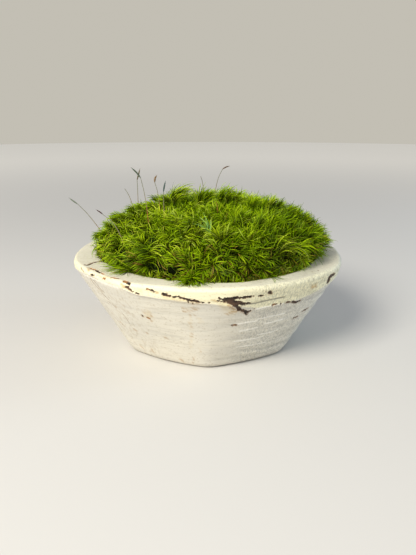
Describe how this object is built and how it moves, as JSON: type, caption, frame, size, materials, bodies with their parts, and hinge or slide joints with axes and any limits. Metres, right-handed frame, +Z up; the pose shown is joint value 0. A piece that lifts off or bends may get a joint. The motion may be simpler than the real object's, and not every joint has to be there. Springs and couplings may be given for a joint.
{
  "type": "moss clump in a wooden bowl",
  "caption": "Rounded cushion of leafy green moss with thin spore stalks, growing in a shallow faceted bowl of hewn, whitewashed wood.",
  "frame": {"origin": "middle of the bowl's flat underside, on the surface that it stands on", "axes": "+Z up out of the bowl's mouth, -Y towards the side seen in the picture, +X to its right"},
  "size_m": [0.2233, 0.2184, 0.1451],
  "materials": {
    "whitewashed_wood": "chalky off-white paint, rubbed and chipped to dark brown wood",
    "moss": "fresh moss leaves, soft sheen",
    "spore_stalk": "straw to rust coloured stalk, satin",
    "spore_capsule": "dark olive to brown capsule, satin"
  },
  "bodies": {
    "root": {"bowl": "whitewashed_wood", "moss_clump": "moss", "spore_stalk_1": "spore_stalk", "spore_stalk_2": "spore_stalk", "spore_stalk_3": "spore_stalk", "spore_stalk_4": "spore_stalk", "spore_stalk_5": "spore_stalk", "spore_stalk_6": "spore_stalk", "spore_stalk_7": "spore_stalk", "spore_stalk_8": "spore_stalk", "spore_stalk_9": "spore_stalk", "spore_capsule_1": "spore_capsule", "spore_capsule_2": "spore_capsule", "spore_capsule_4": "spore_capsule", "spore_capsule_5": "spore_capsule", "spore_capsule_6": "spore_capsule", "spore_capsule_7": "spore_capsule", "spore_capsule_9": "spore_capsule"}
  },
  "joints": []
}
